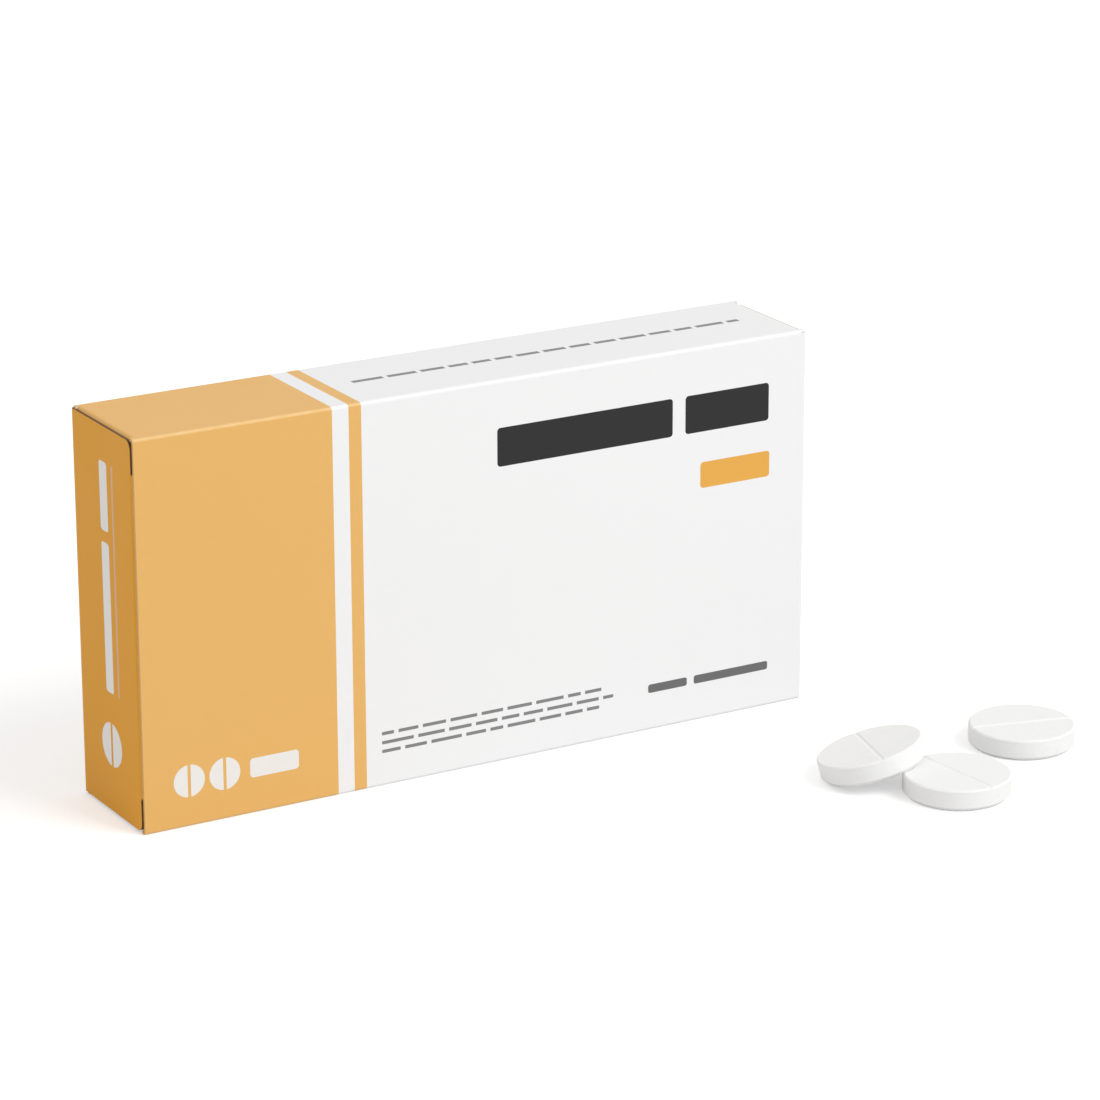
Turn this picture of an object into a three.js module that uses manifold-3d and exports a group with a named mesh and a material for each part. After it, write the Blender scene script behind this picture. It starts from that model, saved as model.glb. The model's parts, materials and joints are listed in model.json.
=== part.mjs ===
// A paperboard carton of tablets: the folded carton with a hinged lid at each end, two blister
// cards, the folded leaflet, and three loose tablets beside it.
// Sizes are in millimetres. X runs along the carton, Y from its front panel to its back panel
// and Z up. The origin is the centre of the carton's underside.

import * as THREE from "three";
import { mergeVertices } from "three/addons/utils/BufferGeometryUtils.js";
import Module from "manifold-3d";

const wasm = await Module();
wasm.setup();

// Carton
const cartonLength = 91;
const cartonDepth = 16.3;
const cartonHeight = 48;
const board = 0.36;
const foldRadius = 0.8;
const panelEdgeInset = 0.2;
const seamInset = 0.45;
const glueFlapWidth = 11;
const glueFlapEndGap = 3;
const glueFlapEndSlope = 5;

// Dust flaps, folded in under each lid
const dustFlapLength = 16;
const dustFoldRadius = 0.5;
const dustFlapGap = 0.06;
const dustSideGap = 0.05;
const dustTuckGap = 0.85;
const dustTaper = 1.2;
const dustCornerRadius = 2;

// Lids and their tucks
const lidEndGap = 0.3;
const lidCornerRadius = 1.1;
const slitLength = 4.2;
const tuckGap = 0.1;
const tuckLength = 9;
const tuckLean = 6;
const tuckEndGap = 0.2;
const tuckCornerRadius = 4.5;
const creaseGapAngle = 2;

// Tablets
const tabletRadius = 6.5;
const tabletBand = 1.7;
const tabletBevel = 0.5;
const scoreWidth = 1.2;
const scoreDepth = 0.35;

// Blister cards
const cardLength = 86;
const cardHeight = 45;
const cardCornerRadius = 3;
const filmThickness = 0.3;
const foilThickness = 0.1;
const pocketColumns = 5;
const pocketRows = 2;
const pocketPitchX = 16.3;
const pocketPitchZ = 19.5;
const pocketClearance = 0.4;
const pocketHeadroom = 0.5;
const pocketDraft = 0.25;
const pocketShoulder = 0.8;
const tabletSeat = 0.2;
const contentsGap = 0.3;
const cardGap = 0.2;

// Leaflet, folded to and fro
const leafletLength = 62;
const leafletHeight = 42;
const leafletPaper = 0.2;
const leafletPitch = 0.36;
const leafletPanels = 8;
const leafletGap = 0.25;

// Loose tablets, lying on the surface the carton stands on. Two are placed from the carton's
// right end and front, and the leaning one from the tablet that it leans on.
const nearTablet = { name: "loose_tablet_2", beyondEnd: -1.9, inFront: 36.55, scoreAngle: -84 };
const farTablet = { name: "loose_tablet_3", beyondEnd: 14.5, inFront: 26.95, scoreAngle: -15 };
const leaningTablet = { name: "loose_tablet_1", toLeft: 6.2, toBack: 8.9, tilt: 15.7, lowSide: 141, scoreAngle: -108 };

// Faces per full turn
const fineSegments = 48;
const pocketSegments = 20;
const foldSegments = 8;

// Overlap that makes joined solids one
const joinRun = 0.4;

// Worked out from the above
const halfLength = cartonLength / 2;
const halfDepth = cartonDepth / 2;
const tabletThickness = tabletBand + 2 * tabletBevel;
const tabletFaceRadius = tabletRadius - tabletBevel;
const tuckFace = halfDepth - board - tuckGap;
const tuckLow = slitLength + tuckEndGap;
const tuckHigh = cartonHeight - tuckLow;
const tuckReach = 2 * board + tuckGap + tuckLength * Math.sin(radians(tuckLean));
const dustFlapFace = halfLength - board - dustFlapGap;
const dustFlapSide = halfDepth - foldRadius - dustSideGap;
const floorOfContents = 2 * board;

// Colours
const orange = new THREE.MeshStandardMaterial({ color: 0xe8b76a, roughness: 0.45, metalness: 0 });
const lidOrange = new THREE.MeshStandardMaterial({ color: 0xcb9346, roughness: 0.45, metalness: 0 });
const tabletWhite = new THREE.MeshStandardMaterial({ color: 0xf3f3f1, roughness: 0.7, metalness: 0 });
const clearFilm = new THREE.MeshStandardMaterial({
  color: 0xdfe8ec,
  roughness: 0.15,
  metalness: 0,
  transparent: true,
  opacity: 0.35,
});
const foilSilver = new THREE.MeshStandardMaterial({ color: 0xc8cace, roughness: 0.3, metalness: 0.9 });
const leafletWhite = new THREE.MeshStandardMaterial({ color: 0xf4f3ee, roughness: 0.85, metalness: 0 });

function radians(degrees) {
  return (degrees * Math.PI) / 180;
}

// A three.js geometry as a solid that can be joined and cut.
function toSolid(geometry) {
  const bare = geometry.clone();
  bare.deleteAttribute("normal");
  bare.deleteAttribute("uv");
  const merged = mergeVertices(bare, 1e-5);
  const corners = merged.getIndex().array;
  const triangles = [];
  for (let i = 0; i < corners.length; i += 3) {
    const [a, b, c] = corners.slice(i, i + 3);
    if (a !== b && b !== c && c !== a) triangles.push(a, b, c);
  }
  return new wasm.Manifold(
    new wasm.Mesh({
      numProp: 3,
      vertProperties: merged.getAttribute("position").array,
      triVerts: new Uint32Array(triangles),
    }),
  );
}

function toGeometry(solid) {
  const mesh = solid.getMesh();
  const geometry = new THREE.BufferGeometry();
  geometry.setAttribute("position", new THREE.BufferAttribute(mesh.vertProperties, 3));
  geometry.setIndex(new THREE.BufferAttribute(mesh.triVerts, 1));
  geometry.computeVertexNormals();
  return geometry;
}

// An outline pulled straight along an axis. Its two coordinates are (y, z) along X,
// (z, x) along Y and (x, y) along Z.
function pull(shape, axis, low, high) {
  const geometry = new THREE.ExtrudeGeometry(shape, {
    depth: high - low,
    bevelEnabled: false,
    curveSegments: foldSegments,
  });
  geometry.translate(0, 0, low);
  const x = new THREE.Vector3(1, 0, 0);
  const y = new THREE.Vector3(0, 1, 0);
  const z = new THREE.Vector3(0, 0, 1);
  const turns = {
    x: new THREE.Matrix4().makeBasis(y, z, x),
    y: new THREE.Matrix4().makeBasis(z, x, y),
    z: new THREE.Matrix4(),
  };
  geometry.applyMatrix4(turns[axis]);
  return toSolid(geometry);
}

function polygon(points) {
  return new THREE.Shape(points.map(([u, v]) => new THREE.Vector2(u, v)));
}

function block(xLow, xHigh, yLow, yHigh, zLow, zHigh) {
  const geometry = new THREE.BoxGeometry(xHigh - xLow, yHigh - yLow, zHigh - zLow);
  geometry.translate((xLow + xHigh) / 2, (yLow + yHigh) / 2, (zLow + zHigh) / 2);
  return toSolid(geometry);
}

// A polygon whose corners are rounded by the radius given with each: [u, v, radius].
function roundedPolygon(corners) {
  const shape = new THREE.Shape();
  const count = corners.length;
  corners.forEach(([u, v, radius], i) => {
    const corner = new THREE.Vector2(u, v);
    const before = new THREE.Vector2(...corners[(i + count - 1) % count]);
    const after = new THREE.Vector2(...corners[(i + 1) % count]);
    const toBefore = before.sub(corner).normalize();
    const toAfter = after.sub(corner).normalize();
    const half = Math.acos(toBefore.dot(toAfter)) / 2;
    if (radius === 0) {
      shape[i === 0 ? "moveTo" : "lineTo"](u, v);
      return;
    }
    const run = radius / Math.tan(half);
    const middle = toBefore.clone().add(toAfter).setLength(radius / Math.sin(half)).add(corner);
    const start = toBefore.clone().multiplyScalar(run).add(corner);
    const end = toAfter.clone().multiplyScalar(run).add(corner);
    const from = start.clone().sub(middle);
    const to = end.clone().sub(middle);
    shape[i === 0 ? "moveTo" : "lineTo"](start.x, start.y);
    const clockwise = from.cross(to) < 0;
    const startAngle = Math.atan2(start.y - middle.y, start.x - middle.x);
    const endAngle = Math.atan2(end.y - middle.y, end.x - middle.x);
    shape.absarc(middle.x, middle.y, radius, startAngle, endAngle, clockwise);
  });
  shape.closePath();
  return shape;
}

// Half a turn about Z takes everything at the right end to the left end.
function atLeftEnd(solid) {
  return solid.rotate([0, 0, 180]);
}

// The section of the carton: four panels, four rounded folds, and the glued seam at the
// bottom of the back panel, where the bottom panel ends in a cut edge under the glue flap.
function sleeveSection() {
  const r = foldRadius;
  const seam = halfDepth - seamInset;
  const seamAngle = -Math.acos((seam - (halfDepth - r)) / r);
  const outer = new THREE.Shape();
  outer.moveTo(-halfDepth + r, 0);
  outer.lineTo(seam, 0);
  outer.absarc(halfDepth - r, board + r, r, seamAngle, 0, false);
  outer.absarc(halfDepth - r, cartonHeight - r, r, 0, Math.PI / 2, false);
  outer.absarc(-halfDepth + r, cartonHeight - r, r, Math.PI / 2, Math.PI, false);
  outer.absarc(-halfDepth + r, r, r, Math.PI, 1.5 * Math.PI, false);

  const inside = r - board;
  const inner = new THREE.Path();
  inner.moveTo(-halfDepth + r, board);
  inner.lineTo(halfDepth - r, board);
  inner.absarc(halfDepth - r, board + r, inside, -Math.PI / 2, 0, false);
  inner.absarc(halfDepth - r, cartonHeight - r, inside, 0, Math.PI / 2, false);
  inner.absarc(-halfDepth + r, cartonHeight - r, inside, Math.PI / 2, Math.PI, false);
  inner.absarc(-halfDepth + r, r, inside, Math.PI, 1.5 * Math.PI, false);
  outer.holes.push(inner);
  return outer;
}

// The glue flap: the last strip of the sheet, bonded on the inside of the bottom panel.
function glueFlap() {
  const back = halfDepth - foldRadius;
  const end = halfLength - glueFlapEndGap;
  return pull(
    polygon([
      [-end, back],
      [-end + glueFlapEndSlope, back - glueFlapWidth],
      [end - glueFlapEndSlope, back - glueFlapWidth],
      [end, back],
    ]),
    "z",
    board / 2,
    2 * board,
  );
}

// One dust flap of the right end, folded down from the top panel. Towards the tuck (+Y) it
// has a shoulder that sits in the lid's slit, then steps back to let the tuck pass.
function dustFlap() {
  const r = dustFoldRadius;
  const foldX = dustFlapFace - r;
  const foldZ = cartonHeight - r;
  const side = dustFlapSide;
  const tuckSide = tuckFace - board - dustTuckGap;
  const tip = cartonHeight - dustFlapLength;

  const fold = new THREE.Shape();
  fold.moveTo(cartonHeight - board, foldX - joinRun);
  fold.lineTo(cartonHeight, foldX - joinRun);
  fold.absarc(foldZ, foldX, r, 0, Math.PI / 2, false);
  fold.lineTo(foldZ - joinRun, dustFlapFace);
  fold.lineTo(foldZ - joinRun, dustFlapFace - board);
  fold.absarc(foldZ, foldX, r - board, Math.PI / 2, 0, true);
  fold.closePath();

  const face = roundedPolygon([
    [-side, foldZ, 0],
    [-side, tuckHigh, 0],
    [-side + dustTaper, tip, dustCornerRadius],
    [tuckSide - dustTaper, tip, dustCornerRadius],
    [tuckSide, tuckHigh, 0],
    [side, tuckHigh + side - tuckSide, 0],
    [side, foldZ, 0],
  ]);
  return pull(fold, "y", -side, side).add(pull(face, "x", dustFlapFace - board, dustFlapFace));
}

// What is cut away at the top of the right end for the dust flap's fold.
function dustNotch() {
  return block(
    dustFlapFace - dustFoldRadius,
    halfLength,
    -dustFlapSide,
    dustFlapSide,
    cartonHeight - 2 * board,
    cartonHeight + board,
  );
}

function upsideDown(solid) {
  return solid.mirror([0, 0, 1]).translate([0, 0, cartonHeight]);
}

// The half of the lid's fold that stays on the front panel at the right end.
function panelHinge() {
  const x = halfLength - board;
  const y = -halfDepth + board;
  const shape = new THREE.Shape();
  shape.moveTo(x, y);
  shape.lineTo(x - joinRun, y);
  shape.lineTo(x - joinRun, -halfDepth);
  shape.absarc(x, y, board, radians(-90), radians(-45), false);
  shape.closePath();
  return pull(shape, "z", lidEndGap, cartonHeight - lidEndGap);
}

function carton() {
  const reach = halfLength - panelEdgeInset;
  const hingeCut = block(
    halfLength - board,
    halfLength,
    -halfDepth - board,
    -halfDepth + foldRadius,
    -board,
    cartonHeight + board,
  );
  let sheet = pull(sleeveSection(), "x", -reach, reach).add(glueFlap());
  const cuts = [hingeCut, dustNotch(), upsideDown(dustNotch())];
  const joins = [panelHinge(), dustFlap(), upsideDown(dustFlap())];
  for (const cut of cuts) {
    sheet = sheet.subtract(cut).subtract(atLeftEnd(cut));
  }
  for (const join of joins) {
    sheet = sheet.add(join).add(atLeftEnd(join));
  }
  return sheet;
}

// The right lid, hinged on the front panel. Two slits cut along its far fold leave its
// corners free of the tuck.
function lid() {
  const inside = halfLength - board;
  const root = -halfDepth + board;
  const crease = tuckFace - board;
  const low = lidEndGap;
  const high = cartonHeight - lidEndGap;
  const face = roundedPolygon([
    [root, low, 0],
    [tuckFace, low, lidCornerRadius],
    [tuckFace, slitLength, 0],
    [crease, slitLength, 0],
    [crease, cartonHeight - slitLength, 0],
    [tuckFace, cartonHeight - slitLength, 0],
    [tuckFace, high, lidCornerRadius],
    [root, high, 0],
  ]);

  const rootFold = new THREE.Shape();
  rootFold.moveTo(inside, root);
  rootFold.absarc(inside, root, board, radians(-45), 0, false);
  rootFold.lineTo(halfLength, root + joinRun);
  rootFold.lineTo(inside, root + joinRun);
  rootFold.closePath();

  const tuckFold = new THREE.Shape();
  tuckFold.moveTo(inside, crease - joinRun);
  tuckFold.lineTo(halfLength, crease - joinRun);
  tuckFold.absarc(inside, crease, board, 0, radians(45 + tuckLean), false);
  tuckFold.lineTo(inside, crease);
  tuckFold.closePath();

  return pull(face, "x", inside, halfLength)
    .add(pull(rootFold, "z", low, high))
    .add(pull(tuckFold, "z", slitLength, cartonHeight - slitLength));
}

// The right lid's tuck, which slides in behind the back panel and leans a little inwards.
function tuck() {
  const face = roundedPolygon([
    [tuckLow, 0, 0],
    [tuckHigh, 0, 0],
    [tuckHigh, -tuckLength, tuckCornerRadius],
    [tuckLow, -tuckLength, tuckCornerRadius],
  ]);

  const fold = new THREE.Shape();
  fold.moveTo(0, 0);
  fold.absarc(0, 0, board, radians(45 + creaseGapAngle), radians(90), false);
  fold.lineTo(-joinRun, board);
  fold.lineTo(-joinRun, 0);
  fold.closePath();

  return pull(face, "y", 0, board)
    .add(pull(fold, "z", tuckLow, tuckHigh))
    .rotate([0, 0, tuckLean])
    .translate([halfLength - board, tuckFace - board, 0]);
}

// A bevelled tablet with a score across its top, standing on z = 0.
function tablet(segments) {
  const outline = [
    [0, 0],
    [tabletFaceRadius, 0],
    [tabletRadius, tabletBevel],
    [tabletRadius, tabletBevel + tabletBand],
    [tabletFaceRadius, tabletThickness],
    [0, tabletThickness],
  ].map(([r, h]) => new THREE.Vector2(r, h));
  const lathe = new THREE.LatheGeometry(outline, segments);
  lathe.rotateX(Math.PI / 2);
  const groove = pull(
    polygon([
      [-scoreWidth / 2, tabletThickness],
      [0, tabletThickness - scoreDepth],
      [scoreWidth / 2, tabletThickness],
      [scoreWidth / 2, tabletThickness + scoreDepth],
      [-scoreWidth / 2, tabletThickness + scoreDepth],
    ]),
    "x",
    -2 * tabletRadius,
    2 * tabletRadius,
  );
  return toSolid(lathe).subtract(groove);
}

// The places of a card's pockets, from its centre.
function pocketPlaces() {
  const places = [];
  for (let row = 0; row < pocketRows; row += 1) {
    for (let column = 0; column < pocketColumns; column += 1) {
      places.push([
        (column - (pocketColumns - 1) / 2) * pocketPitchX,
        (row - (pocketRows - 1) / 2) * pocketPitchZ,
      ]);
    }
  }
  return places;
}

function cardOutline() {
  const x = cardLength / 2;
  const z = cardHeight / 2;
  const r = cardCornerRadius;
  return roundedPolygon([
    [-z, -x, r],
    [z, -x, r],
    [z, x, r],
    [-z, x, r],
  ]);
}

// A pocket as a solid of revolution about Y, standing on the sealing plane y = 0.
function pocket(grow, base) {
  const foot = tabletRadius + pocketClearance + grow;
  const depth = tabletSeat + tabletThickness + pocketHeadroom + grow;
  const head = foot - pocketDraft;
  const outline = [
    [0, base],
    [foot, base],
    [head, depth - pocketShoulder],
    [head - pocketShoulder, depth],
    [0, depth],
  ].map(([r, h]) => new THREE.Vector2(r, h));
  return toSolid(new THREE.LatheGeometry(outline, pocketSegments));
}

// The clear film of a card: a thin sheet drawn into hollow pockets that open towards -Y.
function film() {
  let solid = pull(cardOutline(), "y", 0, filmThickness);
  for (const [x, z] of pocketPlaces()) {
    solid = solid.add(pocket(filmThickness, 0).translate([x, 0, z]));
  }
  for (const [x, z] of pocketPlaces()) {
    solid = solid.subtract(pocket(0, -filmThickness).translate([x, 0, z]));
  }
  return solid;
}

function foil() {
  return pull(cardOutline(), "y", -foilThickness, 0);
}

function cardTablet(x, z) {
  return tablet(pocketSegments).rotate([-90, 0, 0]).translate([x, tabletSeat, z]);
}

// The leaflet: one sheet folded to and fro, standing on its long edge.
function leaflet() {
  const outer = (leafletPitch + leafletPaper) / 2;
  const inner = (leafletPitch - leafletPaper) / 2;
  const turn = leafletLength / 2 - outer;
  const bend = new THREE.Shape();
  bend.moveTo(turn - joinRun, -outer);
  bend.absarc(turn, 0, outer, -Math.PI / 2, Math.PI / 2, false);
  bend.lineTo(turn - joinRun, outer);
  bend.lineTo(turn - joinRun, inner);
  bend.absarc(turn, 0, inner, Math.PI / 2, -Math.PI / 2, true);
  bend.lineTo(turn - joinRun, -inner);
  bend.closePath();
  const rightBend = pull(bend, "z", 0, leafletHeight);
  const leftBend = rightBend.mirror([1, 0, 0]);
  const leaf = block(-turn, turn, 0, leafletPaper, 0, leafletHeight);

  let sheet = leaf;
  for (let panel = 1; panel < leafletPanels; panel += 1) {
    const fold = panel % 2 === 1 ? rightBend : leftBend;
    sheet = sheet.add(leaf.translate([0, panel * leafletPitch, 0]));
    sheet = sheet.add(fold.translate([0, (panel - 1) * leafletPitch + outer, 0]));
  }
  return sheet;
}

function mesh(name, solid, material) {
  const result = new THREE.Mesh(toGeometry(solid), material);
  result.name = name;
  return result;
}

// A card with its tablets, in a group that places and turns it.
function blisterCard(name) {
  const group = new THREE.Group();
  group.add(mesh(`${name}_blister_film`, film(), clearFilm));
  group.add(mesh(`${name}_blister_foil`, foil(), foilSilver));
  pocketPlaces().forEach(([x, z], i) => {
    group.add(mesh(`${name}_tablet_${i + 1}`, cardTablet(x, z), tabletWhite));
  });
  return group;
}

const boxOfTablets = new THREE.Group();
boxOfTablets.name = "box_of_tablets";

boxOfTablets.add(mesh("carton", carton(), orange));
boxOfTablets.add(mesh("right_lid", lid(), lidOrange));
boxOfTablets.add(mesh("right_tuck", tuck(), orange));
boxOfTablets.add(mesh("left_lid", atLeftEnd(lid()), lidOrange));
boxOfTablets.add(mesh("left_tuck", atLeftEnd(tuck()), orange));

const cardCentre = floorOfContents + cardHeight / 2;
const cardThickness = tabletSeat + tabletThickness + pocketHeadroom + filmThickness;
const frontFoilPlane = -halfDepth + tuckReach + contentsGap + foilThickness;
const backFoilPlane = frontFoilPlane + 2 * cardThickness + cardGap;

const frontCard = blisterCard("front");
frontCard.position.set(0, frontFoilPlane, cardCentre);
boxOfTablets.add(frontCard);

const backCard = blisterCard("back");
backCard.position.set(0, backFoilPlane, cardCentre);
backCard.rotation.z = Math.PI;
boxOfTablets.add(backCard);

const foldedLeaflet = mesh("leaflet", leaflet(), leafletWhite);
foldedLeaflet.position.set(0, backFoilPlane + foilThickness + leafletGap, floorOfContents);
boxOfTablets.add(foldedLeaflet);

for (const { name, beyondEnd, inFront, scoreAngle } of [nearTablet, farTablet]) {
  const loose = mesh(name, tablet(fineSegments), tabletWhite);
  loose.position.set(halfLength + beyondEnd, -halfDepth - inFront, 0);
  loose.rotation.z = radians(scoreAngle);
  boxOfTablets.add(loose);
}

// The third loose tablet has its low side on the surface and its high side on the rim of
// the tablet beside it.
const tilt = radians(leaningTablet.tilt);
const lowSide = radians(leaningTablet.lowSide);
const leaning = mesh(leaningTablet.name, tablet(fineSegments), tabletWhite);
const centreHeight = (tabletThickness / 2) * Math.cos(tilt) + tabletFaceRadius * Math.sin(tilt);
const hingeLine = new THREE.Vector3(-Math.sin(lowSide), Math.cos(lowSide), 0);
leaning.quaternion.setFromAxisAngle(hingeLine, tilt);
leaning.rotateZ(radians(leaningTablet.scoreAngle));
leaning.position.set(
  halfLength + nearTablet.beyondEnd - leaningTablet.toLeft,
  -halfDepth - nearTablet.inFront + leaningTablet.toBack,
  centreHeight,
);
leaning.translateZ(-tabletThickness / 2);
boxOfTablets.add(leaning);

export default boxOfTablets;
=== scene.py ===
import json
import math

import bmesh
import bpy
from mathutils import Matrix, Vector
from mathutils.bvhtree import BVHTree


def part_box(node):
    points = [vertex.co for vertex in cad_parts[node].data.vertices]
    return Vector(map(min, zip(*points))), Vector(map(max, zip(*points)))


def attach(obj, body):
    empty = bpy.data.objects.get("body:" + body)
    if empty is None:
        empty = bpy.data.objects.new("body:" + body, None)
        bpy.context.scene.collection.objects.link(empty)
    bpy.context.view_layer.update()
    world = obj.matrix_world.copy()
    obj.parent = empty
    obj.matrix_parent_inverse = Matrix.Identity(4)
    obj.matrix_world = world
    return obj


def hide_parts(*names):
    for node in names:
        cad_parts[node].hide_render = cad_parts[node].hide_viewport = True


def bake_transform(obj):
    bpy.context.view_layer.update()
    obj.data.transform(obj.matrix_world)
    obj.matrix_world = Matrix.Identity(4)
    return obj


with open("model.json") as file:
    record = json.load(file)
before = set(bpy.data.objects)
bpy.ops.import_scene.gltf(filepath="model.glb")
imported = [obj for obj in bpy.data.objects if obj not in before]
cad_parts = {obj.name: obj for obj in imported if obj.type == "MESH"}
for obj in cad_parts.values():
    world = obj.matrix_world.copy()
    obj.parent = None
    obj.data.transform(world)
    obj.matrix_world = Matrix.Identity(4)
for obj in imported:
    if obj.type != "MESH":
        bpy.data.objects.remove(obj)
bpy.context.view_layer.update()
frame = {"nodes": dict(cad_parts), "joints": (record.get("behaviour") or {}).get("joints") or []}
mm = 0.001


def linear(hexColour):
    # sRGB hex to the linear colour that a socket wants
    parts = [int(hexColour[i:i + 2], 16) / 255 for i in (1, 3, 5)]
    return tuple(c / 12.92 if c < 0.04045 else ((c + 0.055) / 1.055) ** 2.4 for c in parts) + (1,)


def addNode(tree, kind, links=None, **settings):
    # links maps an input's name or number to a value or to another node's output
    node = tree.nodes.new(kind)
    for name, value in settings.items():
        setattr(node, name, value)
    for name, value in (links or {}).items():
        if isinstance(value, bpy.types.NodeSocket):
            tree.links.new(value, node.inputs[name])
        else:
            node.inputs[name].default_value = value
    return node


def reckon(tree, operation, *values, **settings):
    return addNode(tree, "ShaderNodeMath", dict(enumerate(values)), operation=operation,
                   **settings).outputs[0]


def reckonVector(tree, operation, *values):
    return addNode(tree, "ShaderNodeVectorMath", dict(enumerate(values)),
                   operation=operation).outputs["Value" if operation == "LENGTH" else "Vector"]


def noise(tree, place, size, detail, roughness=0.5):
    # size is that of the noise's features, in millimetres
    return addNode(tree, "ShaderNodeTexNoise",
                   {"Vector": place, "Scale": 1 / (size * mm), "Detail": detail,
                    "Roughness": roughness}).outputs[0]


def remap(tree, value, fromSpan, toSpan, **settings):
    return addNode(tree, "ShaderNodeMapRange",
                   {"Value": value, "From Min": fromSpan[0], "From Max": fromSpan[1],
                    "To Min": toSpan[0], "To Max": toSpan[1]}, **settings).outputs[0]


def addBump(tree, height, distance, strength, under=None):
    # distance is in millimetres; under is the normal of a coarser bump
    links = {"Height": height, "Distance": distance * mm, "Strength": strength}
    if under is not None:
        links["Normal"] = under
    return addNode(tree, "ShaderNodeBump", links).outputs[0]


def newMaterial(name):
    # Also gives the output for places on the piece, in its own coordinates
    material = bpy.data.materials.new(name)
    material.use_nodes = True
    tree = material.node_tree
    tree.nodes.clear()
    return material, tree, addNode(tree, "ShaderNodeTexCoord").outputs["Object"]


def finishSurface(tree, colour, roughness, bump, **shader):
    # colour and roughness may be outputs; what is uniform is set on the shader's own sockets
    links = {"Base Color": colour, "Roughness": roughness, "Normal": bump}
    links.update({name.replace("_", " "): value for name, value in shader.items()})
    surface = addNode(tree, "ShaderNodeBsdfPrincipled", links)
    addNode(tree, "ShaderNodeOutputMaterial", {"Surface": surface.outputs[0]})


def joinMarks(tree, marks):
    joined = marks[0]
    for mark in marks[1:]:
        joined = reckon(tree, "MAXIMUM", joined, mark)
    return joined


def without(tree, mark, hole):
    return reckon(tree, "SUBTRACT", mark, hole, use_clamp=True)


def paint(tree, under, ink, mask):
    # A colour mix; its sockets are numbered, since several share a name
    return addNode(tree, "ShaderNodeMix", {0: mask, 6: under, 7: ink}, data_type="RGBA").outputs[2]


# Sizes of the carton, taken from its CAD nodes
halfLength = -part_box("left_lid")[0].x
halfDepth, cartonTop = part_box("carton")[1].yz
print(f"carton {2000 * halfLength:.1f} x {2000 * halfDepth:.1f} x {1000 * cartonTop:.1f} mm")


# Print, in millimetres on the carton: x along it, z up it, y across the narrow faces. A mark is
# given as its face and its span, the two low values first.
printPlan = {
    "orange": "#E9B76C",
    "white": "#F2F2F2",
    "darkInk": "#2E2E2E",
    "amberInk": "#E9AE52",
    "greyInk": "#6E6E6E",
    "lineInk": "#858585",
    "paleInk": "#EFEDEA",
    "faintInk": "#DDB79A",
    "endOrangePaintedShade": "#E6A128",  # the end's orange, deeper than the front's: painted shade on the end face, on top of the lamps' own shading
    "orangeEnd": -20.0,  # the broad orange field reaches from the left end to here
    "bandStart": -17.85,  # a thin band of orange follows after a white gap
    "bandEnd": -16.2,
    "faceReach": 0.5,  # how far a mark reaches to each side of its face, at least
    "barRound": 0.45,
    "darkBars": [("front", (1.9, 37.3, 26.3, 42.1)), ("front", (28.1, 37.3, 40.1, 42.1)),
                 ("back", (4.0, 37.3, 16.0, 42.1)), ("back", (17.8, 37.3, 42.0, 42.1))],
    "amberBars": [("front", (30.3, 30.1, 40.3, 33.4)), ("back", (4.0, 30.1, 14.0, 33.4))],
    "greyBars": [("front", (23.0, 4.85, 28.6, 5.95)), ("front", (29.6, 4.85, 40.4, 5.95))],
    "greyRound": 0.3,
    "paleBar": ("front", (-31.6, 4.5, -25.2, 6.9)),
    "frontSigns": [(-39.5, 5.7), (-34.9, 5.7)],
    "endBars": [("leftEnd", (-1.1, 15.2, 0.9, 33.6)), ("leftEnd", (-1.1, 35.0, 0.9, 43.4))],
    "endSign": (-0.1, 8.7),
    "endLine": ("leftEnd", (-2.7, 15.2, -2.3, 43.4)),
}

# Fine lines of dashes: face, start, end, level and half height
fineHalf = 0.21
dashPlan = {
    "lines": [("front", -14.1, 16.3, 6.65, fineHalf), ("front", -14.1, 18.0, 5.5, fineHalf),
              ("front", -14.1, 16.0, 4.4, fineHalf), ("top", -13.1, 40.7, -0.05, 2 * fineHalf)]
             + [("back", -12.0, 38 - 3.7 * (row % 3), 26 - 1.9 * row, fineHalf)
                for row in range(9)],
    "firstDash": 1.4,
    "length": 3.6,  # mean length of a dash with its gap
    "gap": 0.17,  # share of it that is blank
    "unevenness": 0.75,
    "shift": 113,  # along the pattern, from one line to the next
    "round": 0.1,
}


# The two axes a face's marks are laid out on, the axis across the board, and its place on that
faceFrames = {
    "front": (0, 2, 1, -halfDepth / mm),
    "back": (0, 2, 1, halfDepth / mm),
    "top": (0, 1, 2, cartonTop / mm),
    "leftEnd": (1, 2, 0, -halfLength / mm),
}


def inkMark(tree, place, face, span, rounding):
    # 1 on a mark with rounded corners on one face of the carton, 0 elsewhere
    reach = max(printPlan["faceReach"], 1.02 * rounding)
    across, upright, level, depth = faceFrames[face]
    low, high = Vector((0, 0, 0)), Vector((0, 0, 0))
    low[across], low[upright], high[across], high[upright] = span
    low[level], high[level] = depth - reach, depth + reach
    low, high, radius = low * mm, high * mm, rounding * mm
    away = reckonVector(tree, "SUBTRACT", place, (low + high) / 2)
    folded = reckonVector(tree, "ABSOLUTE", away)
    beyond = reckonVector(tree, "SUBTRACT", folded, (high - low) / 2 - Vector((radius,) * 3))
    outside = reckonVector(tree, "MAXIMUM", beyond, (0, 0, 0))
    return reckon(tree, "LESS_THAN", reckonVector(tree, "LENGTH", outside), radius)


def inkBars(tree, place, bars, rounding):
    return joinMarks(tree, [inkMark(tree, place, face, span, rounding) for face, span in bars])


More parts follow.
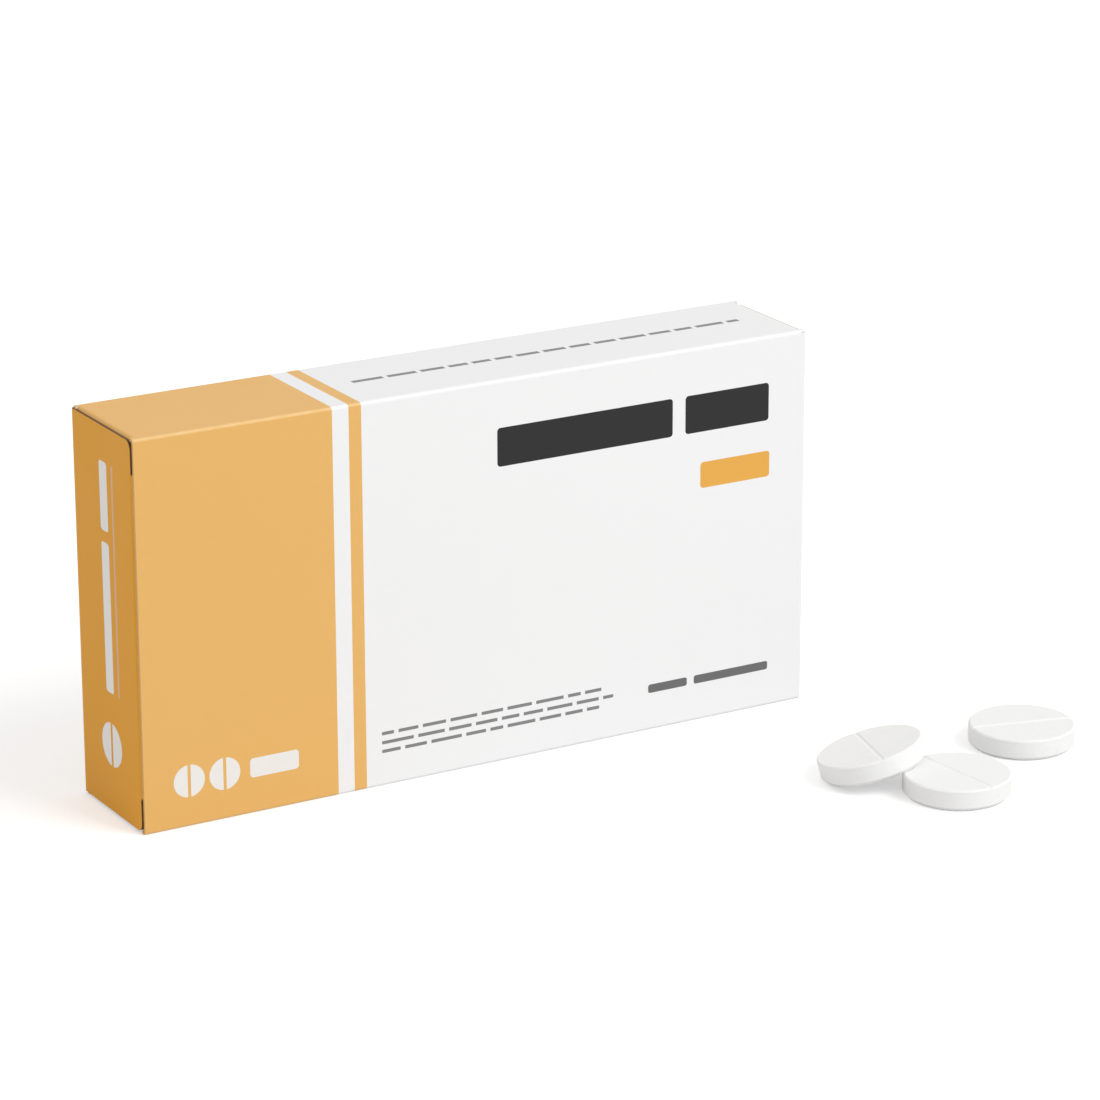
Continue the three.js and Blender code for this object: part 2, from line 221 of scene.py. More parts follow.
def tabletSign(tree, place, face, centre, radius, scoreHalf):
    # A disc with an upright score left blank across it
    across, up = centre
    disc = inkMark(tree, place, face,
                   (across - radius, up - radius, across + radius, up + radius), radius - 0.01)
    reach = radius + 0.1
    score = inkMark(tree, place, face,
                    (across - scoreHalf, up - reach, across + scoreHalf, up + reach), 0.05)
    return without(tree, disc, score)


def lineDashes(tree, place, seed):
    # 1 on the dashes of a fine line along x, 0 in the gaps between them
    shifted = reckonVector(tree, "ADD", place, (seed * dashPlan["shift"] * mm, 0, 0))
    along = addNode(tree, "ShaderNodeSeparateXYZ", {0: shifted})
    cells = addNode(tree, "ShaderNodeTexVoronoi",
                    {"W": along.outputs["X"], "Scale": 1 / (dashPlan["length"] * mm),
                     "Randomness": dashPlan["unevenness"]},
                    voronoi_dimensions="1D", feature="DISTANCE_TO_EDGE")
    return reckon(tree, "GREATER_THAN", cells.outputs["Distance"], dashPlan["gap"] / 2)


def sleeveMarks(tree, place, colour):
    # The marks on the front, the top and the back, as bars, dashes and round tablet signs
    for bars, ink, rounding in (("darkBars", "darkInk", "barRound"),
                                ("amberBars", "amberInk", "barRound"),
                                ("greyBars", "greyInk", "greyRound")):
        mask = inkBars(tree, place, printPlan[bars], printPlan[rounding])
        colour = paint(tree, colour, linear(printPlan[ink]), mask)

    fine = []
    for seed, (face, start, end, level, half) in enumerate(dashPlan["lines"]):
        line, first = (inkMark(tree, place, face, (start, level - half, stop, level + half),
                               dashPlan["round"])
                       for stop in (end, start + dashPlan["firstDash"]))
        fine += [reckon(tree, "MULTIPLY", line, lineDashes(tree, place, seed)), first]
    colour = paint(tree, colour, linear(printPlan["lineInk"]), joinMarks(tree, fine))

    signs = [inkBars(tree, place, [printPlan["paleBar"]], printPlan["barRound"])]
    signs += [tabletSign(tree, place, "front", centre, 2, 0.2)
              for centre in printPlan["frontSigns"]]
    return paint(tree, colour, linear(printPlan["paleInk"]), joinMarks(tree, signs))


def endMarks(tree, place, colour):
    # A tall bar in two lengths, a round tablet sign below it and a fine line beside it
    signs = [inkBars(tree, place, printPlan["endBars"], printPlan["barRound"]),
             tabletSign(tree, place, "leftEnd", printPlan["endSign"], 2.7, 0.25)]
    colour = paint(tree, colour, linear(printPlan["paleInk"]), joinMarks(tree, signs))
    fineLine = inkBars(tree, place, [printPlan["endLine"]], dashPlan["round"])
    return paint(tree, colour, linear(printPlan["faintInk"]), fineLine)


# Clay-coated carton board: sizes and depths in millimetres
boardCoat = {
    "sheenPatch": 9,
    "sheen": (0.4, 0.5),
    "grain": 0.35,
    "grainDepth": 0.004,
    "wave": 14,
    "waveDepth": 0.1,
    "wearAndHighlightFrom": 0.42,  # the fold's paling, part wear and part painted highlight, begins this far from the carton's corner line
    "wearAndHighlightTo": 0.16,  # and is whole from here on
    "wearAndHighlightAmount": (0.25, 0.5),
    "wearAndHighlightPatch": 1.6,
    "wornAndHighlitWhite": "#FFFFFF",
    "wornAndHighlitOrange": "#F6DDB0",
}


def inkFoldWearAndHighlight(tree, place, axes):
    # 1 on the middle of each long fold, where the coating is stretched, and patchy along it; the
    # paling there is partly wear and partly a painted highlight of the rounded fold
    across = reckon(tree, "ABSOLUTE", axes.outputs["Y"])
    level = reckon(tree, "SUBTRACT", axes.outputs["Z"], cartonTop / 2)
    level = reckon(tree, "ABSOLUTE", level)
    amount = remap(tree, noise(tree, place, boardCoat["wearAndHighlightPatch"], 3.0), (0.3, 0.7),
                   boardCoat["wearAndHighlightAmount"])
    for value, edge in ((across, halfDepth), (level, cartonTop / 2)):
        near = remap(tree, value, (edge - boardCoat["wearAndHighlightFrom"] * mm,
                                   edge - boardCoat["wearAndHighlightTo"] * mm), (0, 1),
                     interpolation_type="SMOOTHSTEP")
        amount = reckon(tree, "MULTIPLY", amount, near)
    return amount


def makePrintedBoard(name, orange, addMarks=None):
    # Offset print under a dispersion varnish: smooth, a soft sheen, the inks even, and the board a
    # little paler along the folds, partly where the fold has stretched the coating and partly as a
    # painted highlight of the rounded fold
    material, tree, place = newMaterial(name)
    axes = addNode(tree, "ShaderNodeSeparateXYZ", {0: place})
    field = reckon(tree, "LESS_THAN", axes.outputs["X"], printPlan["orangeEnd"] * mm)
    bandFrom = reckon(tree, "GREATER_THAN", axes.outputs["X"], printPlan["bandStart"] * mm)
    bandTo = reckon(tree, "LESS_THAN", axes.outputs["X"], printPlan["bandEnd"] * mm)
    printed = joinMarks(tree, [field, reckon(tree, "MULTIPLY", bandFrom, bandTo)])
    colour = paint(tree, linear(printPlan["white"]), linear(orange), printed)
    if addMarks:
        colour = addMarks(tree, place, colour)
    # Paler along the folds: partly worn coating, partly a painted highlight of the rounded fold
    wornAndHighlitColour = paint(tree, linear(boardCoat["wornAndHighlitWhite"]), linear(boardCoat["wornAndHighlitOrange"]), printed)
    colour = paint(tree, colour, wornAndHighlitColour, inkFoldWearAndHighlight(tree, place, axes))

    sheen = remap(tree, noise(tree, place, boardCoat["sheenPatch"], 3.0), (0, 1),
                  boardCoat["sheen"])
    waves = addBump(tree, noise(tree, place, boardCoat["wave"], 1.0), boardCoat["waveDepth"], 0.6)
    grain = addBump(tree, noise(tree, place, boardCoat["grain"], 4.0, 0.6),
                    boardCoat["grainDepth"], 0.5, waves)
    finishSurface(tree, colour, sheen, grain, IOR=1.45, Specular_IOR_Level=0.16)
    return material


def makeFibreSurface(name, pale, dark, fibreLength, roughness):
    # Uncoated fibre: matt, with short faint fibres lying every way
    material, tree, place = newMaterial(name)
    stretched = addNode(tree, "ShaderNodeMapping", {"Vector": place, "Scale": (1, 1, 0.45)})
    fibres = noise(tree, stretched.outputs[0], fibreLength, 6.0, 0.7)
    contrast = remap(tree, fibres, (0.35, 0.65), (0, 1))
    colour = paint(tree, linear(dark), linear(pale), contrast)
    finishSurface(tree, colour, roughness, addBump(tree, fibres, 0.03, 0.5), IOR=1.5)
    return material


def makeTabletPowder():
    # Pressed white powder: matt and chalky, with fine grains and shallow pits
    material, tree, place = newMaterial("pressedTabletPowder")
    grains = noise(tree, place, 0.45, 5.0, 0.65)
    pits = addNode(tree, "ShaderNodeTexVoronoi", {"Vector": place, "Scale": 1 / (0.55 * mm)},
                   feature="SMOOTH_F1")
    speck = remap(tree, grains, (0.25, 0.45), (0, 1))
    colour = paint(tree, linear("#EEEEEC"), linear("#F5F5F4"), speck)
    deep = addBump(tree, pits.outputs["Distance"], 0.012, 0.3)
    finishSurface(tree, colour, 0.72, addBump(tree, grains, 0.01, 0.5, deep), IOR=1.5,
                  Specular_IOR_Level=0.25)
    return material


def makeClearFilm():
    # Thermoformed clear PVC: hard and glossy, faintly cool
    material, tree, place = newMaterial("clearPvcFilm")
    ripple = noise(tree, place, 2.5, 2.0)
    colour = paint(tree, linear("#EAF1F3"), linear("#F6FAFB"), ripple)
    finishSurface(tree, colour, 0.09, addBump(tree, ripple, 0.05, 0.4), IOR=1.53, Alpha=0.3)
    return material


def makeLiddingFoil():
    # Hard aluminium lidding foil, heat-sealed under a knurled roller: bright, diamond-pressed
    material, tree, place = newMaterial("knurledLiddingFoil")
    knurlPitch = 0.8 * mm
    bandUnit = 0.314  # a wave texture's bands are this far apart at a scale of 1
    heights = []
    for turn in (45, -45):
        turned = addNode(tree, "ShaderNodeMapping",
                         {"Vector": place, "Rotation": (0, math.radians(turn), 0)})
        wave = addNode(tree, "ShaderNodeTexWave",
                       {"Vector": turned.outputs[0], "Scale": bandUnit / knurlPitch},
                       wave_type="BANDS", bands_direction="X")
        heights.append(wave.outputs["Fac"])
    knurl = reckon(tree, "MULTIPLY", *heights)
    creased = noise(tree, place, 6, 3.0)
    pressed = addBump(tree, knurl, 0.05, 0.8)
    colour = paint(tree, linear("#C3C6C9"), linear("#DCDEE0"), creased)
    finishSurface(tree, colour, 0.32, addBump(tree, creased, 0.2, 0.5, pressed), Metallic=1.0)
    return material


def makeLeafletPaper():
    # Thin uncoated paper with faint rows of grey dashes inside a margin
    plan = {"margin": 4.0, "pitch": 1.5, "rowShare": 0.36, "pale": "#F3F2EE", "dark": "#EAE8E2",
            "ink": "#8C8C8A"}
    material, tree, place = newMaterial("leafletPaper")
    axes = addNode(tree, "ShaderNodeSeparateXYZ", {0: place})
    fibres = noise(tree, place, 0.5, 5.0)
    colour = paint(tree, linear(plan["dark"]), linear(plan["pale"]), fibres)
    rows = reckon(tree, "DIVIDE", axes.outputs["Z"], plan["pitch"] * mm)
    rows = reckon(tree, "FRACT", rows)
    onRow = reckon(tree, "LESS_THAN", rows, plan["rowShare"])
    mask = reckon(tree, "MULTIPLY", onRow, lineDashes(tree, place, 3))
    low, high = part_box("leaflet")
    for name, start, end in (("X", low.x, high.x), ("Z", low.z, high.z)):
        inside = reckon(tree, "COMPARE", axes.outputs[name], (start + end) / 2,
                        (end - start) / 2 - plan["margin"] * mm)
        mask = reckon(tree, "MULTIPLY", mask, inside)
    colour = paint(tree, colour, linear(plan["ink"]), mask)
    finishSurface(tree, colour, 0.85, addBump(tree, fibres, 0.02, 0.5), IOR=1.5)
    return material


sleeveBoard = makePrintedBoard("varnishedSleeveBoard", printPlan["orange"], sleeveMarks)
# The end board's orange is deeper than the sleeve's: painted shade for the left end, which the key
# lamp does not reach
endBoardPaintedShade = makePrintedBoard("varnishedEndBoardPaintedShade", printPlan["endOrangePaintedShade"], endMarks)
flapBoard = makePrintedBoard("varnishedFlapBoard", printPlan["orange"])
bareBoard = makeFibreSurface("uncoatedBoardReverse", "#E9E5DB", "#D8D2C4", 0.7, 0.85)
orangeCutEdge = makeFibreSurface("dieCutEdgeByOrange", "#EAB977", "#D9A562", 0.25, 0.9)
# The lid's cut edges are dark brown, unlike the carton's pale ones: painted shade, standing in for
# the shadow in the thin gap round the shut lid
lidCutEdgePaintedShade = makeFibreSurface("dieCutLidEdgePaintedShade", "#6E4F2E", "#553A1F", 0.25, 0.9)
whiteCutEdge = makeFibreSurface("dieCutEdgeByWhite", "#E2DED5", "#CFC9BC", 0.25, 0.9)
tabletPowder = makeTabletPowder()
clearFilm = makeClearFilm()
liddingFoil = makeLiddingFoil()
leafletPaper = makeLeafletPaper()
print("materials made")


# Board pieces: a merged copy of each CAD sheet, its faces sorted into print, reverse and cut edge
boardWork = {
    "mergeDistance": 0.002 * mm,
    "thickness": 0.36 * mm,
    "thickest": 0.62 * mm,  # further through than this from a face means that it is a cut edge
    "rayStart": 0.001 * mm,  # how far under a face the ray through the board starts
    "flatAngle": math.radians(0.4),
    "creaseAngle": math.radians(28),
    "modelledFold": 0.8 * mm,  # outer radius of the sleeve's folds in the CAD sheet
    "pressedFold": 0.44 * mm,  # and as the creasing rule leaves them
    "foldSlack": 0.004 * mm,
}


def facesOutward(centre, normal):
    if abs(normal.x) > 0.7:
        return normal.x * centre.x > 0
    return normal.y * centre.y + normal.z * (centre.z - cartonTop / 2) > 0


def mergedCopy(nodeName):
    mesh = bmesh.new()
    mesh.from_mesh(frame["nodes"][nodeName].data)
    bmesh.ops.remove_doubles(mesh, verts=mesh.verts, dist=boardWork["mergeDistance"])
    mesh.normal_update()
    return mesh


def smoothBetween(mesh, angle):
    for face in mesh.faces:
        face.smooth = True
    for edge in mesh.edges:
        edge.smooth = len(edge.link_faces) == 2 and edge.calc_face_angle(0) < angle


def pieceFrom(mesh, name, materials):
    data = bpy.data.meshes.new(name)
    mesh.to_mesh(data)
    mesh.free()
    for material in materials:
        data.materials.append(material)
    piece = bpy.data.objects.new(name, data)
    bpy.context.scene.collection.objects.link(piece)
    return piece


def pressFolds(mesh):
    # Draws the sleeve's four long folds in to the tighter radius, within the carton's own box
    old, new, slack = (boardWork[key] for key in ("modelledFold", "pressedFold", "foldSlack"))
    middle = cartonTop / 2
    for vertex in mesh.verts:
        point = vertex.co
        sideY, sideZ = math.copysign(1, point.y), math.copysign(1, point.z - middle)
        outY = abs(point.y) - (halfDepth - old)
        outZ = abs(point.z - middle) - (middle - old)
        if outY < -slack or outZ < -slack:
            continue
        depth = old - math.hypot(outY, outZ)
        if not -slack < depth < boardWork["thickness"] + slack:
            continue
        angle = math.atan2(max(outZ, 0), max(outY, 0))
        point.y = sideY * (halfDepth - new + (new - depth) * math.cos(angle))
        point.z = middle + sideZ * (middle - new + (new - depth) * math.sin(angle))


def makeBoardPiece(nodeName, pieceName, body, slot, printed, leftEdge):
    mesh = mergedCopy(nodeName)
    tree = BVHTree.FromBMesh(mesh)
    for face in mesh.faces:
        centre = face.calc_center_median()
        through = tree.ray_cast(centre - face.normal * boardWork["rayStart"], -face.normal)[3]
        if through is None or through > boardWork["thickest"]:
            face.material_index = 2 if centre.x < printPlan["orangeEnd"] * mm else 3
        else:
            face.material_index = 0 if facesOutward(centre, face.normal) else 1
    if nodeName == "carton":
        pressFolds(mesh)
    bmesh.ops.dissolve_limit(mesh, angle_limit=boardWork["flatAngle"], verts=mesh.verts,
                             edges=mesh.edges, delimit={"MATERIAL"})
    smoothBetween(mesh, boardWork["creaseAngle"])
    piece = pieceFrom(mesh, pieceName, [printed, bareBoard, leftEdge, whiteCutEdge])
    weighted = piece.modifiers.new("panelNormals", "WEIGHTED_NORMAL")
    weighted.keep_sharp = True
    weighted.weight = 100
    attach(piece, body)
    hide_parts(nodeName)


for nodeName, pieceName, body, slot, printed, leftEdge in (
        ("carton", "cartonSheet", "carton_and_contents", "printed_board", sleeveBoard,
         orangeCutEdge),
        # The left lid's deeper orange and its dark cut edges are painted shade
        ("left_lid", "leftLidPanel", "left_lid", "printed_board_orange", endBoardPaintedShade, lidCutEdgePaintedShade),
        ("left_tuck", "leftTuckFlap", "left_tuck", "printed_board_orange", flapBoard,
         orangeCutEdge),
        ("right_lid", "rightLidPanel", "right_lid", "printed_board", endBoardPaintedShade, lidCutEdgePaintedShade),
        ("right_tuck", "rightTuckFlap", "right_tuck", "printed_board", flapBoard,
         orangeCutEdge)):
    makeBoardPiece(nodeName, pieceName, body, slot, printed, leftEdge)


# Creases: the board's skin across each hinge, as it lies with the lids shut
creaseWork = {
    "skin": 0.05 * mm,
    "sunk": 0.02 * mm,  # how far the skin lies under the board's face
    "flatRun": 0.9 * mm,  # how far it runs on along each panel
    "bend": 0.25 * mm,
    "steps": 14,
    "hingeMargin": 0.35 * mm,  # left bare at the crease's two ends
    "tuckMargin": 0.1 * mm,
    "tuckLean": math.radians(6),
    "blendSpan": (0.3, 0.75),  # where on the tuck's fold the turn begins and ends
    "smoothAngle": math.radians(40),
}


def stripFrom(points, normals, low, high, name, material):
    # A thin upright strip along a line of points, from one height to another
    mesh = bmesh.new()
    inner, outer = [], []
    for point, normal in zip(points, normals):
        for row, offset in ((inner, -0.5), (outer, 0.5)):
            at = point + normal * creaseWork["skin"] * offset
            row.append([mesh.verts.new((at.x, at.y, z)) for z in (low, high)])
    last = len(points) - 1
    for i in range(last):
        mesh.faces.new((inner[i][0], inner[i][1], inner[i + 1][1], inner[i + 1][0]))
        mesh.faces.new((outer[i][0], outer[i + 1][0], outer[i + 1][1], outer[i][1]))
        for k in (0, 1):
            mesh.faces.new((inner[i][k], inner[i + 1][k], outer[i + 1][k], outer[i][k]))
    for i in (0, last):
        mesh.faces.new((inner[i][0], inner[i][1], outer[i][1], outer[i][0]))
    bmesh.ops.recalc_face_normals(mesh, faces=mesh.faces)
    smoothBetween(mesh, creaseWork["smoothAngle"])
    return pieceFrom(mesh, name, [material])


def makeHingeCrease(side, turned):
    # The skin is on the board's reverse, where the fold opens
    thickness, reach, bend = boardWork["thickness"], creaseWork["flatRun"], creaseWork["bend"]
    cornerX, cornerY = -halfLength + thickness, halfDepth - thickness
    sink = creaseWork["sunk"] + creaseWork["skin"] / 2
    points, normals = [], []
    for run in (1.0, 0.7, 0.4):
        points.append(turned(cornerX + bend + run * (reach - bend), cornerY + sink))
        normals.append(turned(0, 1))
    for step in range(creaseWork["steps"] + 1):
        angle = math.pi / 2 * step / creaseWork["steps"]
        sine, cosine = math.sin(angle), math.cos(angle)
        points.append(turned(cornerX + bend - sink - bend * sine,
                             cornerY - bend + sink + bend * cosine))
        normals.append(turned(-sine, cosine))
    for run in (0.4, 0.7, 1.0):
        points.append(turned(cornerX - sink, cornerY - bend - run * (reach - bend)))
        normals.append(turned(-1, 0))
    low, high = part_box(f"{side}_lid")
    hinge = stripFrom(points, normals, low.z + creaseWork["hingeMargin"],
                      high.z - creaseWork["hingeMargin"], f"{side}HingeCrease", bareBoard)
    start, end = turned(cornerX + bend, cornerY), turned(cornerX, cornerY - bend)
    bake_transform(hinge)


def makeTuckCrease(side, turned):
    # The skin is on the printed side, round the inner corner that the tuck turns about
    joints = {joint["name"]: joint for joint in frame["joints"]}
    pivot = Vector(joints[f"{side}_tuck_fold"]["pos_m"])
    radius = boardWork["thickness"] - creaseWork["sunk"] - creaseWork["skin"] / 2
    whole = math.pi / 2 + creaseWork["tuckLean"]

    def around(angle):
        return turned(-math.cos(angle), -math.sin(angle))

    def along(angle):
        return turned(math.sin(angle), -math.cos(angle))

    stations = [(0, -1.0), (0, -0.5)]  # angle round the fold, and run along the panel
    stations += [(whole * step / creaseWork["steps"], 0)
                 for step in range(creaseWork["steps"] + 1)]
    stations += [(whole, 0.5), (whole, 1.0)]
    points = [pivot + radius * around(angle) + run * creaseWork["flatRun"] * along(angle)
              for angle, run in stations]
    normals = [around(angle) for angle, run in stations]
    low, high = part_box(f"{side}_tuck")
    fold = stripFrom(points, normals, low.z + creaseWork["tuckMargin"],
                     high.z - creaseWork["tuckMargin"], f"{side}TuckCrease", flapBoard)
    start, end = (pivot + radius * around(share * whole) for share in creaseWork["blendSpan"])
    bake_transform(fold)


def makeCreases(side, sign):
    # sign is -1 at the left end and 1 at the right one, which is the left one after half a turn
    def turned(x, y):
        return Vector((-sign * x, -sign * y, 0))

    makeHingeCrease(side, turned)
    makeTuckCrease(side, turned)


makeCreases("left", -1)
makeCreases("right", 1)
print("board pieces made")


# Loose tablets: a merged copy of each CAD tablet, its upper bevel and score drawn finer and its
# pressed edges slightly broken
tabletWork = {
    "edgeBreak": 0.09 * mm,
    "edgeSteps": 4,
    "sharpAngle": math.radians(20),
    "smoothAngle": math.radians(60),
    "bevelShare": 0.4,  # of the CAD tablet's upper bevel and of its score's depth
    "scoreShare": 0.5,  # of the score's width
    "slopeSpan": (0.2, 0.98),  # how far up the score's two faces look
    "slack": 0.004 * mm,
}


def drawTabletIn(mesh):
    # Works inside the tablet's own outline, however it lies
    base = max(mesh.faces, key=lambda face: face.calc_area())
    axis, centre = -base.normal, base.calc_center_median()

    def place(point):
        away = point - centre
        height = away.dot(axis)
        return height, away - axis * height

    spots = {vertex: place(vertex.co) for vertex in mesh.verts}
    slack, share = tabletWork["slack"], tabletWork["bevelShare"]
    top = max(height for height, out in spots.values())
    rim = max(out.length for height, out in spots.values())
    inset = rim - max(out.length for height, out in spots.values() if height > top - slack)
    drop = top - max(height for height, out in spots.values() if out.length > rim - slack)
    flattest, steepest = tabletWork["slopeSpan"]
    score = [face for face in mesh.faces if flattest < face.normal.dot(axis) < steepest
             and place(face.calc_center_median())[1].length < rim / 2]
    inScore = {vertex for face in score for vertex in face.verts}
    across = place(score[0].normal + centre)[1].normalized()
    for vertex, (height, out) in spots.items():
        below, inward = top - height, rim - out.length
        if below < drop + slack and inward < inset + slack:
            height = top - below * share
            out = out.normalized() * (rim - inward * share)
        if vertex in inScore:
            out = out - across * out.dot(across) * (1 - tabletWork["scoreShare"])
        vertex.co = centre + axis * height + out


def makeLooseTablet(nodeName, pieceName):
    mesh = mergedCopy(nodeName)
    bmesh.ops.dissolve_limit(mesh, angle_limit=boardWork["flatAngle"], verts=mesh.verts,
                             edges=mesh.edges)
    drawTabletIn(mesh)
    smoothBetween(mesh, tabletWork["smoothAngle"])
    piece = pieceFrom(mesh, pieceName, [tabletPowder])
    edges = piece.modifiers.new("brokenEdges", "BEVEL")
    edges.width = tabletWork["edgeBreak"]
    edges.segments = tabletWork["edgeSteps"]
    edges.limit_method = "ANGLE"
    edges.angle_limit = tabletWork["sharpAngle"]
    weighted = piece.modifiers.new("faceNormals", "WEIGHTED_NORMAL")
    weighted.keep_sharp = False
    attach(piece, "carton_and_contents")
    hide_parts(nodeName)


for number in (1, 2, 3):
    makeLooseTablet(f"loose_tablet_{number}", f"looseTablet{number}")
print("loose tablets made")


# Leaflet: one sheet folded to and fro. A path runs along each leaf and turns at its ends, and the
# paper follows the path.
leafletWork = {
    "leaves": 8,
    "pitch": 0.36 * mm,
    "paper": 0.2 * mm,
    "bendSteps": 6,
    "bendShare": 0.49,  # of the pitch: the radius of a turn's two corners
    "smoothAngle": math.radians(40),
}


def makeFoldingTree():
    tree = bpy.data.node_groups.new("foldedSheet", "GeometryNodeTree")
    for label, kind in (("Leaves", "Int"), ("Bend steps", "Int"), ("Bend share", "Float"),
                        ("Pitch", "Float"), ("Paper", "Float"), ("Leaf length", "Float"),
                        ("Height", "Float"), ("First leaf", "Vector"), ("Finish", "Material")):
        tree.interface.new_socket(label, in_out="INPUT", socket_type="NodeSocket" + kind)
    tree.interface.new_socket("Geometry", in_out="OUTPUT", socket_type="NodeSocketGeometry")
    given = addNode(tree, "NodeGroupInput").outputs

    # The path's corners: two to a leaf, at the near end and the far end by turns
    count = reckon(tree, "MULTIPLY", given["Leaves"], 2)
    corners = addNode(tree, "GeometryNodeMeshLine", {"Count": count})
    index = addNode(tree, "GeometryNodeInputIndex").outputs[0]
    leaf = reckon(tree, "FLOOR", reckon(tree, "DIVIDE", index, 2))
    turn = reckon(tree, "MODULO", reckon(tree, "ADD", index, 1), 4)
    farEnd = reckon(tree, "GREATER_THAN", turn, 1.5)
    along = reckon(tree, "MULTIPLY", reckon(tree, "SUBTRACT", farEnd, 0.5), given["Leaf length"])
    across = reckon(tree, "MULTIPLY", leaf, given["Pitch"])
    corner = addNode(tree, "ShaderNodeCombineXYZ", {"X": along, "Y": across})
    place = reckonVector(tree, "ADD", corner.outputs[0], given["First leaf"])
    placed = addNode(tree, "GeometryNodeSetPosition",
                     {"Geometry": corners.outputs[0], "Position": place})
    path = addNode(tree, "GeometryNodeMeshToCurve", {"Mesh": placed.outputs[0]})
    bend = reckon(tree, "MULTIPLY", given["Pitch"], given["Bend share"])
    rounded = addNode(tree, "GeometryNodeFilletCurve",
                      {"Curve": path.outputs[0], "Count": given["Bend steps"], "Radius": bend},
                      mode="POLY")

    section = addNode(tree, "GeometryNodeCurvePrimitiveQuadrilateral",
                      {"Width": given["Paper"], "Height": given["Height"]})
    sheet = addNode(tree, "GeometryNodeCurveToMesh",
                    {"Curve": rounded.outputs[0], "Profile Curve": section.outputs[0],
                     "Fill Caps": True})
    real = addNode(tree, "GeometryNodeRealizeInstances", {"Geometry": sheet.outputs[0]})
    finished = addNode(tree, "GeometryNodeSetMaterial",
                       {"Geometry": real.outputs[0], "Material": given["Finish"]})
    addNode(tree, "NodeGroupOutput", {"Geometry": finished.outputs[0]})
    return tree


def makeLeaflet():
    low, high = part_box("leaflet")
    centre, paper = (low + high) / 2, leafletWork["paper"]
    carrier = bpy.data.objects.new("leafletPath", bpy.data.meshes.new("leafletPath"))
    bpy.context.scene.collection.objects.link(carrier)
    folding = carrier.modifiers.new("folding", "NODES")
    folding.node_group = makeFoldingTree()
    sizes = {
        "Leaves": leafletWork["leaves"], "Bend steps": leafletWork["bendSteps"],
        "Bend share": leafletWork["bendShare"], "Pitch": leafletWork["pitch"], "Paper": paper,
        "Leaf length": high.x - low.x - paper, "Height": high.z - low.z,
        "First leaf": (centre.x, low.y + paper / 2, centre.z), "Finish": leafletPaper,
    }
    for item in folding.node_group.interface.items_tree:
        if item.name in sizes:
            folding[item.identifier] = sizes[item.name]
    ready = carrier.evaluated_get(bpy.context.evaluated_depsgraph_get())
    mesh = bmesh.new()
    mesh.from_mesh(bpy.data.meshes.new_from_object(ready))
    bpy.data.objects.remove(carrier)
    bmesh.ops.remove_doubles(mesh, verts=mesh.verts, dist=boardWork["mergeDistance"])
    bmesh.ops.recalc_face_normals(mesh, faces=mesh.faces)
    smoothBetween(mesh, leafletWork["smoothAngle"])
    piece = pieceFrom(mesh, "foldedLeaflet", [leafletPaper])
    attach(piece, "carton_and_contents")
    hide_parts("leaflet")


makeLeaflet()
print("leaflet made")


# The cards and their tablets stay as CAD nodes, with finishes of their own
for nodeName, node in frame["nodes"].items():
    if "_tablet_" in nodeName and not nodeName.startswith("loose"):
        finish = tabletPowder
    elif nodeName.endswith("_film"):
        finish = clearFilm
    elif nodeName.endswith("_foil"):
        finish = liddingFoil
    else:
        continue
    node.data.materials.clear()
    node.data.materials.append(finish)


# Studio: a pale floor, an even sky and two broad lamps
studio = {
    "floorReach": 2.5,
    "floorDiffuse": "#E4E4E4",
    "floorLift": 0.42,  # what the camera sees on top of the lit floor, so that it reads white
    "skyStrength": 0.6,
    "lamps": {  # place, size and power
        "keyLamp": ((0.55, -0.85, 0.95), 0.7, 9.2),
        "fillLamp": ((-0.9, -0.5, 0.5), 0.9, 1.2),
    },
}


def seenDirectly(tree):
    # 1 for camera, glossy and transmission rays, which show the white background
    path = addNode(tree, "ShaderNodeLightPath").outputs
    return joinMarks(tree, [path["Is Camera Ray"], path["Is Glossy Ray"],
                            path["Is Transmission Ray"]])


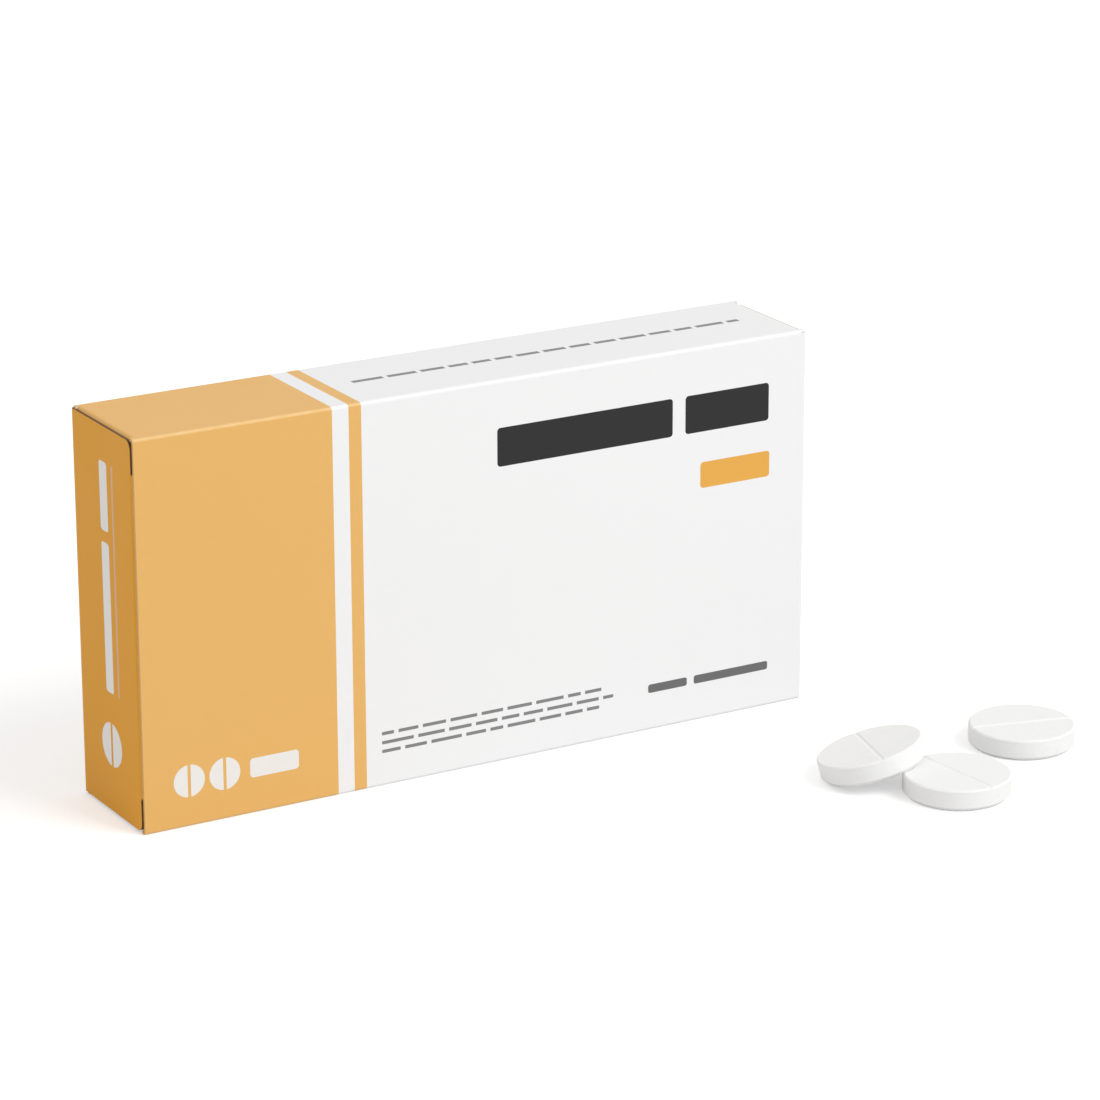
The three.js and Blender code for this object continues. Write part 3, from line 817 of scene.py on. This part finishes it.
def makeStudio():
    mesh = bmesh.new()
    bmesh.ops.create_grid(mesh, x_segments=1, y_segments=1, size=studio["floorReach"])
    material = bpy.data.materials.new("matWhiteFloor")
    material.use_nodes = True
    tree = material.node_tree
    tree.nodes.clear()
    matt = addNode(tree, "ShaderNodeBsdfDiffuse", {"Color": linear(studio["floorDiffuse"])})
    lift = reckon(tree, "MULTIPLY", seenDirectly(tree), studio["floorLift"])
    glow = addNode(tree, "ShaderNodeEmission", {"Strength": lift})
    both = addNode(tree, "ShaderNodeAddShader", {0: matt.outputs[0], 1: glow.outputs[0]})
    addNode(tree, "ShaderNodeOutputMaterial", {"Surface": both.outputs[0]})
    pieceFrom(mesh, "floor", [material])

    world = bpy.data.worlds.new("evenSky")
    world.use_nodes = True
    tree = world.node_tree
    tree.nodes.clear()
    strength = remap(tree, seenDirectly(tree), (0, 1), (studio["skyStrength"], 1.0))
    sky = addNode(tree, "ShaderNodeBackground", {"Color": (1, 1, 1, 1), "Strength": strength})
    addNode(tree, "ShaderNodeOutputWorld", {"Surface": sky.outputs[0]})
    bpy.context.scene.world = world

    for name, (place, size, power) in studio["lamps"].items():
        lamp = bpy.data.lights.new(name, "AREA")
        lamp.shape = "SQUARE"
        lamp.size, lamp.energy = size, power
        holder = bpy.data.objects.new(name, lamp)
        aim = Vector(place).to_track_quat("Z", "Y").to_matrix().to_4x4()
        holder.matrix_world = Matrix.Translation(place) @ aim
        bpy.context.scene.collection.objects.link(holder)
    bpy.context.scene.view_settings.view_transform = "Standard"


def makeCamera():
    shot = {
        "lens": 146.42,
        "sensor": 36,
        "nearFar": (0.01, 20),
        "place": (-0.24762, -0.44839, 0.19449),
        "turn": (71.6814, 0.1224, -30.2870),
    }
    data = bpy.data.cameras.new("photoCamera")
    data.lens, data.sensor_width = shot["lens"], shot["sensor"]
    data.clip_start, data.clip_end = shot["nearFar"]
    camera = bpy.data.objects.new("photoCamera", data)
    camera.location = shot["place"]
    camera.rotation_euler = [math.radians(a) for a in shot["turn"]]
    bpy.context.scene.collection.objects.link(camera)
    bpy.context.scene.camera = camera


makeStudio()
makeCamera()
print("studio and camera made")
